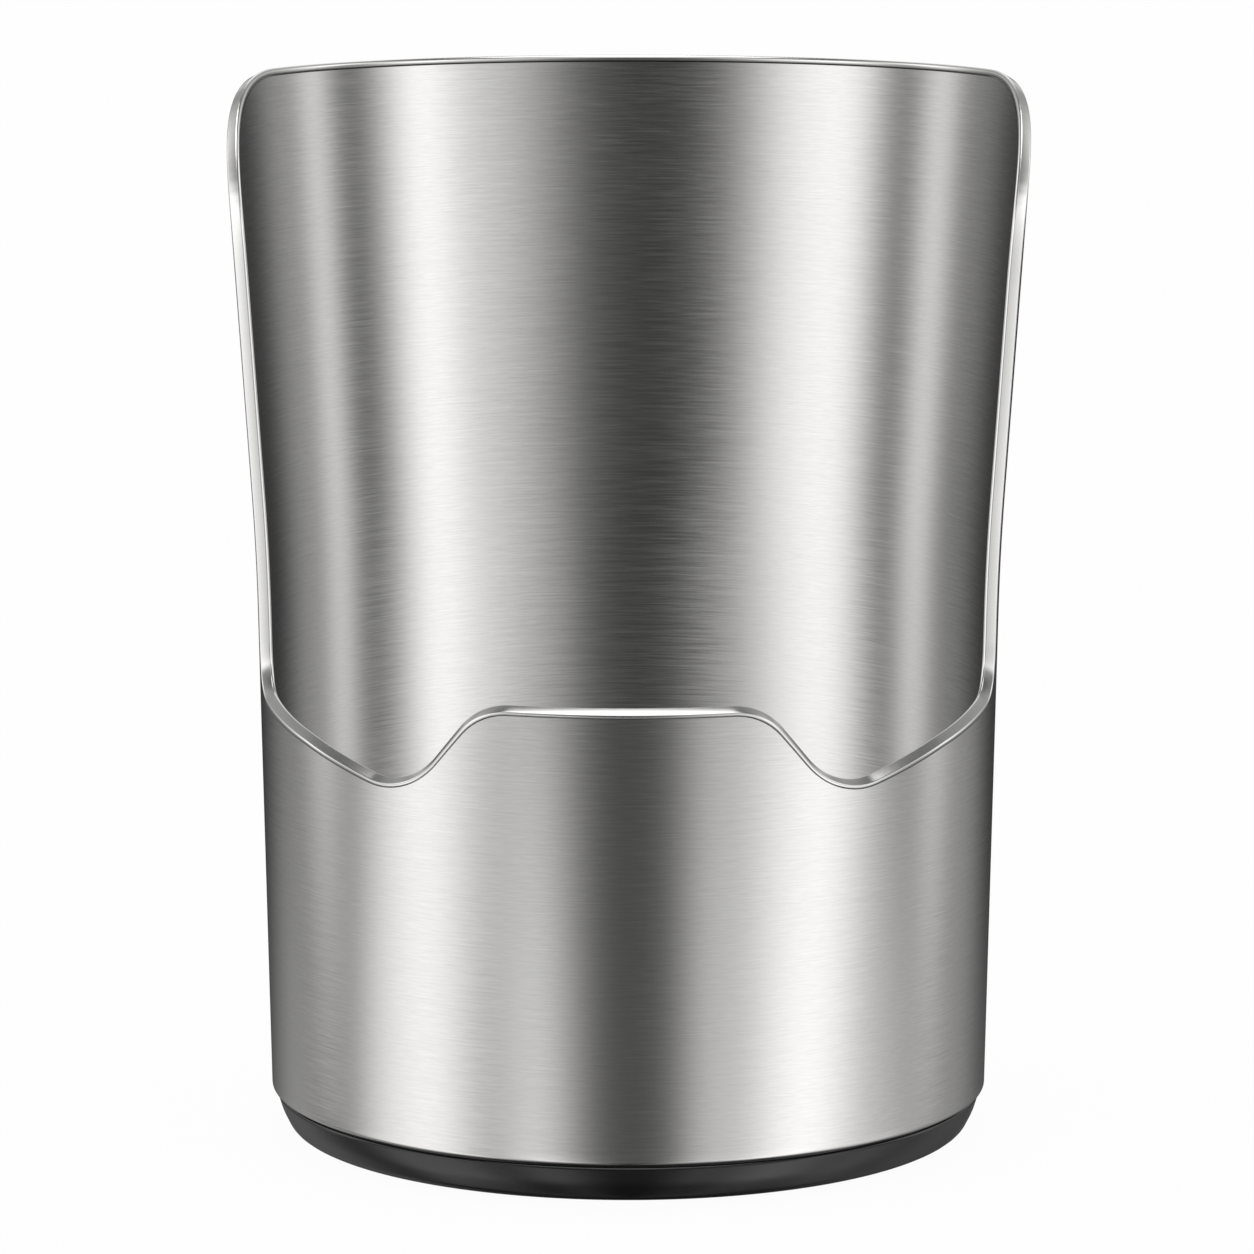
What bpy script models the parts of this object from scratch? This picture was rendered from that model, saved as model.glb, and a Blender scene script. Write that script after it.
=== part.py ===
"""Utensil holder: a double-skinned brushed steel cup with a cut-away front on a black base.

Lengths are in metres and +Z is up. The holder stands on its four pads at Z = 0, the middle of
its box is on the Z axis, and the low front of the opening faces -Y. The back flares out, so
the skins' own axis lies a little in front of the Z axis.

The two skins are cut flat and then rolled, as sheet is: along the flat sheet runs the reach,
measured from the front middle at the waist's radius, and up it runs the height.
"""

import math

import bmesh
import bpy

# Steel body, outer surface
rim_height = 0.1808
waist_height = 0.1006
waist_blend = 0.010
waist_radius = 0.0635
foot_taper = 0.0019
top_flare = 0.0053
sheet_thickness = 0.0005
hollow_width = 0.0012

# Opening, along the line where the rim sits on the skins. Each corner has its run along the
# sheet and its rise or drop from the corner before it, and the radius that rounds it.
plateau_reach = 0.0237
plateau_height = 0.0823
plateau_round = 0.0113
dip_run = 0.0140
dip_drop = 0.0154
dip_round = 0.0146
knee_run = 0.0257
knee_rise = 0.0059
knee_round = 0.054
side_run = 0.0276
side_rise = 0.0050
side_round = 0.009
back_round = 0.033

# Rim
rim_cap_height = 0.0011
rim_edge_round = 0.0005
rim_tongue_depth = 0.003

# Lower edges of the two skins
flange_width = 0.0062
shell_bend = 0.0015
liner_bend = 0.005

# Mounting pan between the skins' floors
pan_thickness = 0.001
pan_rise = 0.0036
pan_rim_width = 0.0092
pan_slope_width = 0.003
pan_side_clearance = 0.0004

# Base moulding
base_height = 0.0063
base_inset = 0.0008
base_taper = 0.0026
base_top_round = 0.0004
base_foot_round = 0.0024
base_wall = 0.0022
base_floor = 0.0022
shadow_land = 0.0009
spigot_wall = 0.002

# Fasteners and pads
fastener_inset = 0.0119
screw_head_radius = 0.004
screw_head_height = 0.0024
screw_shank_radius = 0.0017
screw_tip_setback = 0.0007
slot_width = 0.0011
slot_span = 0.0042
slot_depth = 0.0013
nut_height = 0.003
nut_corner_radius = 0.0046
boss_wall = 0.0014
pad_radius = 0.009
pad_thickness = 0.002
pad_stand = 0.0008
pad_edge_round = 0.0004
pad_shroud_wall = 0.0012

# Clearances
contact_gap = 0.0003
seam_gap = 0.0005
thread_gap = 0.0003
screw_hole_gap = 0.0006
head_side_gap = 0.0004
overrun = 0.002

# Counts and angles
columns = 60
fasteners = 4
small_columns = 20
arc_steps = 3
outline_turn = math.radians(12)
small_turn = math.radians(40)
smooth_angle = math.radians(35)
weld_distance = 1e-6

# Stack of heights, from the table up
base_low = pad_stand
pad_ceiling = pad_thickness + contact_gap
head_low = pad_ceiling + contact_gap
head_high = head_low + screw_head_height
head_seat = head_high + contact_gap
land_height = base_low + base_height
flange_low = land_height + seam_gap
seat_height = flange_low - contact_gap
flange_high = flange_low + sheet_thickness
pan_low = flange_high + contact_gap
platform_low = pan_low + pan_rise
platform_high = platform_low + pan_thickness
nut_high = platform_low - contact_gap
nut_low = nut_high - nut_height
boss_high = nut_low - contact_gap
screw_tip = nut_high - screw_tip_setback
liner_low = platform_high + contact_gap
shoulder_height = rim_height - rim_cap_height

# Corners of the opening
dip_reach = plateau_reach + dip_run
dip_height = plateau_height - dip_drop
knee_reach = dip_reach + knee_run
knee_height = dip_height + knee_rise
side_reach = knee_reach + side_run
side_height = knee_height + side_rise

# Widths through the wall
wall_width = 2 * sheet_thickness + hollow_width
liner_inset = sheet_thickness + hollow_width
tongue_width = hollow_width - 2 * contact_gap


def wall_radius(height):
    """Outer radius of the steel body: two straight tapers that blend at the waist."""
    below = foot_taper / (waist_height - flange_low)
    above = top_flare / (rim_height - waist_height)
    from_waist = height - waist_height
    if from_waist <= -waist_blend:
        return waist_radius + below * from_waist
    if from_waist >= waist_blend:
        return waist_radius + above * from_waist
    eased = (from_waist + waist_blend) ** 2 / (4 * waist_blend)
    return waist_radius + below * from_waist + (above - below) * eased


def arc(centre, radius, start, end, steps):
    """Points on an arc, with its angles in radians and both ends included."""
    turn = (end - start) / steps
    return [
        (centre[0] + radius * math.cos(start + turn * i), centre[1] + radius * math.sin(start + turn * i))
        for i in range(steps + 1)
    ]


def rounded(corners, rounds, step_turn):
    """The polyline through the corners, with each inner corner rounded by its radius."""
    path = [corners[0]]
    for before, corner, after, radius in zip(corners, corners[1:], corners[2:], rounds):
        angle_in = math.atan2(corner[1] - before[1], corner[0] - before[0])
        angle_out = math.atan2(after[1] - corner[1], after[0] - corner[0])
        turn = math.remainder(angle_out - angle_in, math.tau)
        side = math.copysign(1, turn)
        trim = radius * math.tan(abs(turn) / 2)
        start = (corner[0] - trim * math.cos(angle_in), corner[1] - trim * math.sin(angle_in))
        centre = (start[0] - side * radius * math.sin(angle_in), start[1] + side * radius * math.cos(angle_in))
        first = angle_in - side * math.pi / 2
        steps = max(2, math.ceil(abs(turn) / step_turn))
        path += arc(centre, radius, first, first + turn, steps)
    return path + [corners[-1]]


def half_opening():
    """The rim's seat on the flat sheet, from the front middle to the middle of the back."""
    corners = [
        (0, plateau_height),
        (plateau_reach, plateau_height),
        (dip_reach, dip_height),
        (knee_reach, knee_height),
        (side_reach, side_height),
        (side_reach, shoulder_height),
        (math.pi * waist_radius, shoulder_height),
    ]
    return rounded(corners, [plateau_round, dip_round, knee_round, side_round, back_round], outline_turn)


def shifted(path, distance):
    """The path moved to its left by a distance, with its two ends kept on their own reach."""
    moved = []
    for i, (reach, height) in enumerate(path):
        before = path[max(i - 1, 0)]
        after = path[min(i + 1, len(path) - 1)]
        along = (after[0] - before[0], after[1] - before[1])
        length = math.hypot(*along)
        moved.append((reach - distance * along[1] / length, height + distance * along[0] / length))
    return moved


def divided(path, longest):
    """The path with its long straight runs divided evenly."""
    points = []
    for start, end in zip(path, path[1:]):
        pieces = max(1, math.ceil(math.dist(start, end) / longest))
        for i in range(pieces):
            share = i / pieces
            points.append((start[0] + (end[0] - start[0]) * share, start[1] + (end[1] - start[1]) * share))
    return points + [path[-1]]


def material(name, colour, roughness, metallic):
    made = bpy.data.materials.new(name)
    made.use_nodes = True
    shader = made.node_tree.nodes["Principled BSDF"]
    shader.inputs["Base Color"].default_value = (*colour, 1)
    shader.inputs["Roughness"].default_value = roughness
    shader.inputs["Metallic"].default_value = metallic
    made.diffuse_color = (*colour, 1)
    return made


def add(name, mesh, finish, angle=None):
    """One object of the holder, on its axis or at an angle on the fasteners' circle."""
    piece = bpy.data.objects.new(name, mesh)
    piece.parent = axis
    if angle is not None:
        piece.location = (*on_circle(angle), 0)
        piece.rotation_euler.z = angle
    if not mesh.materials:
        mesh.materials.append(finish)
    mesh.shade_smooth()
    mesh.set_sharp_from_angle(angle=smooth_angle)
    bpy.context.scene.collection.objects.link(piece)


def finished(name, work):
    """A mesh from a bmesh, welded and with its faces outward."""
    bmesh.ops.remove_doubles(work, verts=work.verts, dist=weld_distance)
    bmesh.ops.dissolve_degenerate(work, edges=work.edges, dist=weld_distance)
    bmesh.ops.recalc_face_normals(work, faces=work.faces)
    mesh = bpy.data.meshes.new(name)
    work.to_mesh(mesh)
    work.free()
    return mesh


def spun_into(work, section, steps, centre=(0, 0)):
    """Spins a closed section of (radius, height) points round an upright axis."""
    ring = [work.verts.new((centre[0] + radius, centre[1], height)) for radius, height in section]
    edges = [work.edges.new((a, b)) for a, b in zip(ring, ring[1:] + ring[:1])]
    bmesh.ops.spin(
        work, geom=ring + edges, cent=(*centre, 0), axis=(0, 0, 1), angle=math.tau, steps=steps, use_merge=True
    )


def turned(name, section, steps, centres=((0, 0),)):
    """A turned solid at each of the centres, in one mesh."""
    work = bmesh.new()
    for centre in centres:
        spun_into(work, section, steps, centre)
    return finished(name, work)


def prism(name, outline, low, high):
    """An upright prism on a closed outline of (x, y) points."""
    work = bmesh.new()
    face = work.faces.new([work.verts.new((x, y, low)) for x, y in outline])
    risen = bmesh.ops.extrude_face_region(work, geom=[face])["geom"]
    tops = [item for item in risen if isinstance(item, bmesh.types.BMVert)]
    bmesh.ops.translate(work, verts=tops, vec=(0, 0, high - low))
    return finished(name, work)


def combined(mesh, steps):
    """The mesh after each Boolean step, given as pairs of an operation and the other mesh."""
    base = bpy.data.objects.new(mesh.name, mesh)
    bpy.context.scene.collection.objects.link(base)
    others = []
    for operation, other_mesh in steps:
        other = bpy.data.objects.new(other_mesh.name, other_mesh)
        other.hide_render = True
        other.display_type = "WIRE"
        bpy.context.scene.collection.objects.link(other)
        others.append(other)
        boolean = base.modifiers.new(operation, "BOOLEAN")
        boolean.operation = operation
        boolean.object = other
    graph = bpy.context.evaluated_depsgraph_get()
    result = bpy.data.meshes.new_from_object(base.evaluated_get(graph))
    result.name = mesh.name
    for helper in [base, *others]:
        bpy.data.objects.remove(helper)
    return result


def rolled_skin(name, stations):
    """A sheet cut flat along the opening, then rolled so that each row follows its station.

    A station is its place up the flat sheet, then the (radius, height) of the outer face and
    of the inner face there.
    """
    half_girth = math.pi * waist_radius
    sheet = bmesh.new()
    bmesh.ops.create_grid(sheet, x_segments=columns, y_segments=len(stations) - 1, size=1)
    for vert in sheet.verts:
        row = round((vert.co.y + 1) / 2 * (len(stations) - 1))
        vert.co = (vert.co.x * half_girth, stations[row][0], 0)
    back = bmesh.ops.extrude_face_region(sheet, geom=sheet.faces[:])["geom"]
    bmesh.ops.translate(
        sheet, verts=[item for item in back if isinstance(item, bmesh.types.BMVert)], vec=(0, 0, sheet_thickness)
    )
    right = shifted(half_opening(), -contact_gap)
    right[-1] = (half_girth + overrun, right[-1][1])
    left = [(-reach, height) for reach, height in reversed(right[1:])]
    over = stations[-1][0] + overrun
    outline = left + right + [(half_girth + overrun, over), (-half_girth - overrun, over)]
    opening = prism("opening", outline, -overrun, sheet_thickness + overrun)
    flat = combined(finished(name, sheet), [("DIFFERENCE", opening)])

    roll = bmesh.new()
    roll.from_mesh(flat)
    ends = [face for face in roll.faces if all(abs(abs(v.co.x) - half_girth) < weld_distance for v in face.verts)]
    bmesh.ops.delete(roll, geom=ends, context="FACES")
    for vert in roll.verts:
        reach, place, depth = vert.co
        row = 1
        while row < len(stations) - 1 and stations[row][0] < place:
            row += 1
        low, high = stations[row - 1], stations[row]
        share = (place - low[0]) / (high[0] - low[0])
        layers = []
        for layer in (1, 2):
            layers.append([a + (b - a) * share for a, b in zip(low[layer], high[layer])])
        through = depth / sheet_thickness
        radius, height = (a + (b - a) * through for a, b in zip(*layers))
        angle = reach / waist_radius
        vert.co = (radius * math.sin(angle), -radius * math.cos(angle), height)
    return finished(name, roll)


def skin_stations(inset, low, bend, inner_radius):
    """Stations of a skin from its turned-in edge or floor, round the bend and up the wall."""
    bend_top = low + bend
    edge = wall_radius(bend_top) - inset
    centre = (edge - bend, bend_top)
    outer = arc(centre, bend, -math.pi / 2, 0, arc_steps)
    inner = arc(centre, bend - sheet_thickness, -math.pi / 2, 0, arc_steps)
    outer.insert(0, (inner_radius, low))
    inner.insert(0, (inner_radius, low + sheet_thickness))
    places = [bend_top]
    for near, far in zip(outer[::-1], outer[-2::-1]):
        places.insert(0, places[0] - math.dist(near, far))
    stations = list(zip(places, outer, inner))
    for height in (waist_height - waist_blend, waist_height, waist_height + waist_blend, rim_height):
        radius = wall_radius(height) - inset
        stations.append((height, (radius, height), (radius - sheet_thickness, height)))
    return stations


def outer_shell(finish):
    stations = skin_stations(0, flange_low, shell_bend, flange_radius)
    add("outer_shell", rolled_skin("outer_shell", stations), finish)


def inner_liner(finish):
    stations = skin_stations(liner_inset, liner_low, liner_bend, 0)
    add("inner_liner", rolled_skin("inner_liner", stations), finish)


def rim_bead(finish):
    """The polished rim: a cap as wide as the wall, with a tongue down between the skins."""
    half_wall = wall_width / 2
    half_tongue = tongue_width / 2
    round_height = rim_cap_height - rim_edge_round
    round_across = half_wall - rim_edge_round
    section = [(half_tongue, -rim_tongue_depth), (half_tongue, 0), (half_wall, 0)]
    section += arc((round_across, round_height), rim_edge_round, 0, math.pi / 2, arc_steps)
    section += [(-across, up) for across, up in reversed(section)]

    half = divided(half_opening(), math.tau * waist_radius / columns)
    lines = [shifted(half, up) for _, up in section]
    rings = []
    for i in range(len(half)):
        rings.append([(across, *line[i]) for (across, _), line in zip(section, lines)])
    for ring in reversed(rings[1:-1]):
        rings.append([(across, -reach, height) for across, reach, height in ring])

    work = bmesh.new()
    loops = []
    for ring in rings:
        loop = []
        for across, reach, height in ring:
            radius = wall_radius(height) - half_wall + across
            angle = reach / waist_radius
            loop.append(work.verts.new((radius * math.sin(angle), -radius * math.cos(angle), height)))
        loops.append(loop)
    for near, far in zip(loops, loops[1:] + loops[:1]):
        for i in range(len(section)):
            work.faces.new((near[i - 1], near[i], far[i], far[i - 1]))
    add("rim_bead", finished("rim_bead", work), finish)


def mounting_pan(finish):
    """A pressed disc: its rim lies on the shell's flange and its middle carries the liner."""
    rim = wall_radius(flange_low + shell_bend) - shell_bend + pan_bend_reach - pan_side_clearance
    slope_out = rim - pan_rim_width
    slope_in = slope_out - pan_slope_width
    section = [
        (0, platform_low),
        (slope_in, platform_low),
        (slope_out, pan_low),
        (rim, pan_low),
        (rim, pan_low + pan_thickness),
        (slope_out + pan_thickness / 2, pan_low + pan_thickness),
        (slope_in + pan_thickness / 2, platform_high),
        (0, platform_high),
    ]
    add("mounting_pan", turned("mounting_pan", section, columns), finish)


def base_moulding(finish):
    """The black dish under the body, with a well and a boss at each fastener."""
    top = wall_radius(flange_low + shell_bend) - base_inset
    foot = top - base_taper
    wall_in = top - base_wall
    spigot = flange_radius - contact_gap
    floor = base_low + base_floor
    outside = rounded(
        [(0, base_low), (foot, base_low), (top, land_height), (top - shadow_land, land_height)],
        [base_foot_round, base_top_round],
        small_turn,
    )
    section = outside + [
        (top - shadow_land, seat_height),
        (wall_in, seat_height),
        (wall_in - base_taper, floor),
        (spigot, floor),
        (spigot, flange_high),
        (spigot - spigot_wall, flange_high),
        (spigot - spigot_wall, floor),
        (0, floor),
    ]
    middle = (base_low + floor) / 2
    shroud = pad_radius + contact_gap + pad_shroud_wall
    shroud_high = pad_ceiling + pad_shroud_wall
    boss = screw_head_radius + head_side_gap + boss_wall
    bosses = [(0, middle), (shroud, middle), (shroud, shroud_high), (boss, shroud_high), (boss, boss_high), (0, boss_high)]
    hole = screw_shank_radius + screw_hole_gap
    head = screw_head_radius + head_side_gap
    well = pad_radius + contact_gap
    drill = [
        (0, base_low - overrun),
        (well, base_low - overrun),
        (well, pad_ceiling),
        (head, pad_ceiling),
        (head, head_seat),
        (hole, head_seat),
        (hole, boss_high + overrun),
        (0, boss_high + overrun),
    ]
    places = [on_circle(angle) for angle in fastener_angles]
    steps = [
        ("UNION", turned("bosses", bosses, small_columns, places)),
        ("DIFFERENCE", turned("wells", drill, small_columns, places)),
    ]
    mesh = combined(turned("base_moulding", section, columns), steps)
    add("base_moulding", mesh, finish)


def foot_pads(finish):
    """A soft pad in each well, which hides the screw."""
    corners = [(0, 0), (pad_radius, 0), (pad_radius, pad_thickness), (0, pad_thickness)]
    section = rounded(corners, [pad_edge_round, pad_edge_round], math.pi / 4)
    mesh = turned("foot_pad", section, small_columns)
    for i, angle in enumerate(fastener_angles, 1):
        add(f"foot_pad_{i}", mesh, finish, angle)


def base_screws(finish):
    """Pan-head screws with a cross slot, head down, up through the base into the nuts."""
    section = [
        (0, head_low),
        (screw_head_radius - screw_head_height / 4, head_low),
        (screw_head_radius, head_low + screw_head_height / 2),
        (screw_head_radius, head_high),
        (screw_shank_radius, head_high),
        (screw_shank_radius, screw_tip - screw_shank_radius / 3),
        (screw_shank_radius * 2 / 3, screw_tip),
        (0, screw_tip),
    ]
    half_slot = slot_width / 2
    half_span = slot_span / 2
    corner = [(half_span, -half_slot), (half_span, half_slot), (half_slot, half_slot)]
    cross = []
    for quarter in range(4):
        cos, sin = round(math.cos(quarter * math.pi / 2)), round(math.sin(quarter * math.pi / 2))
        cross += [(x * cos - y * sin, x * sin + y * cos) for x, y in corner]
    slot = prism("slot", cross, head_low - overrun, head_low + slot_depth)
    mesh = combined(turned("base_screw", section, small_columns), [("DIFFERENCE", slot)])
    for i, angle in enumerate(fastener_angles, 1):
        add(f"base_screw_{i}", mesh, finish, angle)


def weld_nuts(finish):
    """Six-sided nuts under the pan's platform."""
    corners = [i * math.tau / 6 for i in range(6)]
    outline = [(nut_corner_radius * math.cos(a), nut_corner_radius * math.sin(a)) for a in corners]
    bore = screw_shank_radius + thread_gap
    drill = [(0, nut_low - overrun), (bore, nut_low - overrun), (bore, nut_high + overrun), (0, nut_high + overrun)]
    body = prism("weld_nut", outline, nut_low, nut_high)
    mesh = combined(body, [("DIFFERENCE", turned("bore", drill, small_columns))])
    for i, angle in enumerate(fastener_angles, 1):
        add(f"weld_nut_{i}", mesh, finish, angle)


def on_circle(angle):
    return fastener_circle * math.cos(angle), fastener_circle * math.sin(angle)


flange_radius = wall_radius(flange_low + shell_bend) - shell_bend - flange_width
fastener_circle = flange_radius - fastener_inset
pan_bend_reach = math.sqrt((shell_bend - sheet_thickness) ** 2 - (flange_low + shell_bend - pan_low) ** 2)
fastener_angles = [math.tau * (i + 0.5) / fasteners for i in range(fasteners)]

for old in list(bpy.data.objects):
    bpy.data.objects.remove(old)

axis = bpy.data.objects.new("axis", None)
axis.location.y = (wall_radius(plateau_height) - wall_radius(rim_height)) / 2
bpy.context.scene.collection.objects.link(axis)

outer_shell(material("shell_steel", (0.62, 0.61, 0.60), 0.32, 1.0))
inner_liner(material("liner_steel", (0.60, 0.59, 0.58), 0.34, 1.0))
rim_bead(material("rim_steel", (0.80, 0.79, 0.78), 0.10, 1.0))
mounting_pan(material("pan_steel", (0.50, 0.50, 0.50), 0.40, 1.0))
base_moulding(material("base_plastic", (0.012, 0.012, 0.013), 0.20, 0.0))
foot_pads(material("pad_rubber", (0.05, 0.05, 0.05), 0.80, 0.0))
base_screws(material("screw_steel", (0.70, 0.69, 0.66), 0.30, 1.0))
weld_nuts(material("nut_steel", (0.55, 0.55, 0.55), 0.35, 1.0))
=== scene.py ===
# %% [markdown]
# # A brushed steel utensil holder
#
# The holder is a double-walled steel cup with a cut-away front, a polished rim and a low black
# base. This notebook dresses the CAD model for a render. The CAD nodes stay where they are:
# fittings that nobody sees get a better finish, and what shows is made again with finer faces.

# %% Load the CAD model as a fixed frame
import math

import bmesh
import bpy
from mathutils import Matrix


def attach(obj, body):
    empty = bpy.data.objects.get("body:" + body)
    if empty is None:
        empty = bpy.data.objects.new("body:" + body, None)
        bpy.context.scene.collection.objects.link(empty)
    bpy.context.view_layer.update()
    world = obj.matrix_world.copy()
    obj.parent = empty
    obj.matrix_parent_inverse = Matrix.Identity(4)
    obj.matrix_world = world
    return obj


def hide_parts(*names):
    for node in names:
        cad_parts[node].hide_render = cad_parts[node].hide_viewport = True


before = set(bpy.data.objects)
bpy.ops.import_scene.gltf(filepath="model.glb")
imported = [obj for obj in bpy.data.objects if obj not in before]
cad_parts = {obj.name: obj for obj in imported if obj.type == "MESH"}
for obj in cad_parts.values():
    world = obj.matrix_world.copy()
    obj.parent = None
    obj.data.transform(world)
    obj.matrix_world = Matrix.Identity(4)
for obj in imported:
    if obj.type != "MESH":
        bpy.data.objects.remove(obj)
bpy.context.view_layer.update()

print("nodes:", ", ".join(sorted(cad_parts)))

# %% [markdown]
# ## The camera
#
# The photograph was taken with a long lens from about a metre away, a little above the rim and
# looking down 9 degrees. A long lens keeps the tall sides nearly parallel. The numbers come from
# a camera that was fitted to the curves of the rim and the foot. Such a fit needs three curves
# at different heights, because one ring alone looks the same from near and from far.

# %% Place the camera on its circle round the body's axis
axis_y = -0.002837
camera_reach = 0.98203
camera_height = 0.24193
camera_pitch = math.radians(8.969)
camera_turn = 0.020
aim_left = 0.00022

camera_data = bpy.data.cameras.new("camera")
camera_data.lens = 166.57
camera_data.sensor_width = 36
camera_data.clip_end = 50
camera = bpy.data.objects.new("camera", camera_data)
camera.location = (
    camera_reach * math.sin(camera_turn) - aim_left,
    axis_y - camera_reach * math.cos(camera_turn),
    camera_height,
)
camera.rotation_euler = (math.pi / 2 - camera_pitch, 0, camera_turn)
bpy.context.scene.collection.objects.link(camera)
bpy.context.scene.camera = camera
print("camera at", [round(v, 4) for v in camera.location])

# %% [markdown]
# ## Node trees written as sums
#
# A node tree is a formula, so it reads best as one. `Wire` stands for an output socket, and
# arithmetic on it adds Math nodes. `Bench` holds a tree and adds any other node with one method:
# the node's type, its settings, and the values or wires of its sockets. Shader trees and
# geometry trees use the same two classes.

# %% A socket that can be added and multiplied
class Wire:
    """An output socket of a node tree. Arithmetic on it adds a Math node."""

    def __init__(self, bench, socket):
        self.bench = bench
        self.socket = socket

    def __add__(self, other):
        return self.bench.math("ADD", self, other)

    def __radd__(self, other):
        return self.bench.math("ADD", other, self)

    def __sub__(self, other):
        return self.bench.math("SUBTRACT", self, other)

    def __rsub__(self, other):
        return self.bench.math("SUBTRACT", other, self)

    def __mul__(self, other):
        return self.bench.math("MULTIPLY", self, other)

    def __rmul__(self, other):
        return self.bench.math("MULTIPLY", other, self)

    def __truediv__(self, other):
        return self.bench.math("DIVIDE", self, other)

    def __rtruediv__(self, other):
        return self.bench.math("DIVIDE", other, self)


# %% A bench that nodes are put on
class Bench:
    """A node tree, with one method that adds any node to it."""

    def __init__(self, tree):
        self.tree = tree

    def node(self, kind, settings=None, sockets=None, out=None):
        """Adds a node, sets it, then joins its sockets. Gives one output, or those named in out."""
        made = self.tree.nodes.new(kind)
        count = len(self.tree.nodes)
        made.location = (220 * (count % 12), -260 * (count // 12))
        for name, value in (settings or {}).items():
            setattr(made, name, value)
        for name, value in (sockets or {}).items():
            if isinstance(name, int):
                socket = made.inputs[name]
            else:
                socket = next(s for s in made.inputs if s.enabled and s.name == name)
            if isinstance(value, Wire):
                self.tree.links.new(value.socket, socket)
            else:
                socket.default_value = value
        names = [s.name for s in made.outputs if s.enabled][:1] if out is None else out
        wires = [Wire(self, next(s for s in made.outputs if s.enabled and s.name == n)) for n in names]
        return wires if out else wires[0] if wires else None

    def math(self, operation, *values, clamp=False):
        settings = {"operation": operation, "use_clamp": clamp}
        return self.node("ShaderNodeMath", settings, dict(enumerate(values)))

    def part(self, value, whole):
        """What part of a whole a value is, held between 0 and 1."""
        return self.math("DIVIDE", value, whole, clamp=True)

    def vector(self, x, y, z):
        return self.node("ShaderNodeCombineXYZ", {}, {"X": x, "Y": y, "Z": z})

    def split(self, wire):
        return self.node("ShaderNodeSeparateXYZ", {}, {"Vector": wire}, out=("X", "Y", "Z"))

    def share(self, value, low, high):
        """How far a value is from low to high, held between 0 and 1 and eased at both ends."""
        sockets = {"Value": value, "From Min": low, "From Max": high}
        return self.node("ShaderNodeMapRange", {"interpolation_type": "SMOOTHSTEP"}, sockets)

    def blend(self, share, first, second):
        """A mix of two colours."""
        sockets = {0: share, 6: first, 7: second}
        return self.node("ShaderNodeMix", {"data_type": "RGBA"}, sockets, out=("Result",))[0]

    def noise(self, place, scale, detail):
        """Cloudy noise between 0 and 1, finer where the place or the scale is larger."""
        sockets = {"Vector": place, "Scale": scale, "Detail": detail}
        return self.node("ShaderNodeTexNoise", {}, sockets)

    def bump(self, strength, depth, height):
        """A relief of this depth in metres, for the Normal socket."""
        sockets = {"Strength": strength, "Distance": depth, "Height": height}
        return self.node("ShaderNodeBump", {}, sockets)

    def carried(self, name):
        """A number that the piece's mesh carries at each point."""
        settings = {"attribute_name": name}
        return self.node("ShaderNodeAttribute", settings, {}, out=("Fac",))[0]

    def object_place(self):
        """The place on the piece in metres."""
        return self.node("ShaderNodeTexCoord", {}, {}, out=("Object",))[0]


# %% [markdown]
# ## Brushed steel
#
# A belt ran round the body and left fine scratches, two or three tenths of a millimetre high.
# Some are long hairs and more are short grit marks. They do two things. They show as faint
# streaks, and they spread every reflection upwards and downwards but hardly sideways. The
# streaks could be an image, but noise squeezed in height works at any size. The spread comes
# from the shader's Anisotropic value, turned a quarter so that it runs across the scratches.
# With no Tangent joined, the shader takes rings round the body's upright axis, which is the
# brushing's own path. Along the sheet's cut edge the colour is painted dark, as shade for the
# crease under the rim. The mesh carries each point's distance from that edge in an attribute, so
# the painted shade stays as thin as a hair on every slope of the lip.

# %% Helpers for a finish, and the brushing's own directions
def finish(name):
    """A new material, its bench and its shader node."""
    made = bpy.data.materials.new(name)
    made.use_nodes = True
    return made, Bench(made.node_tree), made.node_tree.nodes["Principled BSDF"]


def feed(shader, bench, values):
    """Sets or joins the shader's sockets."""
    for name, value in values.items():
        if isinstance(value, Wire):
            bench.tree.links.new(value.socket, shader.inputs[name])
        else:
            shader.inputs[name].default_value = value


def shade(tone, factor):
    """A tone made darker or paler, as a colour."""
    return [c * factor for c in tone] + [1]


def brushing(bench):
    """The place on the piece in metres, as two long directions and one across the scratches."""
    x, y, z = bench.split(bench.object_place())
    y = y - axis_y
    outward = bench.math("SQRT", x * x + y * y)
    return x, y, z - outward


# %% The brushed finish
# Painted shade: a near-black that stands in for the shadow in the crease where the rim meets the skins.
painted_shade_steel = (0.03, 0.03, 0.03, 1)
edge_shade_fade = (0.00006, 0.00014)
hairline_depth = 0.00001


def brushed_steel(name, tone, roughness, streaks):
    """Steel brushed round the body: streaks in colour, roughness and bump, and painted shade at its cut
    edge.
    """
    made, bench, shader = finish(name)
    x, y, across = brushing(bench)

    def scratches(along, height, detail):
        """Noise with about so many marks to a metre along the brushing and across it."""
        return bench.noise(bench.vector(x * along, y * along, across * height), 1.0, detail)

    grit = scratches(420, 6000, 1.0)
    hair = scratches(110, 5000, 1.0)
    bundle = scratches(24, 420, 2.0)
    touch = scratches(30, 30, 2.0)
    light = 0.5 + (
        (grit - 0.5) * (streaks * 0.9) + (hair - 0.5) * streaks + (bundle - 0.5) * (streaks * 0.12)
    )
    steel = bench.blend(light, shade(tone, 0.8), shade(tone, 1.2))
    # Painted shade along the cut edge: darkest within 0.06 mm of it, gone by 0.14 mm.
    clear_of_edge_shade = bench.share(bench.carried("from edge"), *edge_shade_fade)
    feed(shader, bench, {
        "Base Color": bench.blend(clear_of_edge_shade, painted_shade_steel, steel),
        "Metallic": 1.0,
        "Roughness": roughness + (hair - 0.5) * 0.15 + (touch - 0.5) * 0.04,
        "Anisotropic": 0.9,
        "Anisotropic Rotation": 0.25,
        "Normal": bench.bump(0.25, hairline_depth, hair),
    })
    return made


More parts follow.
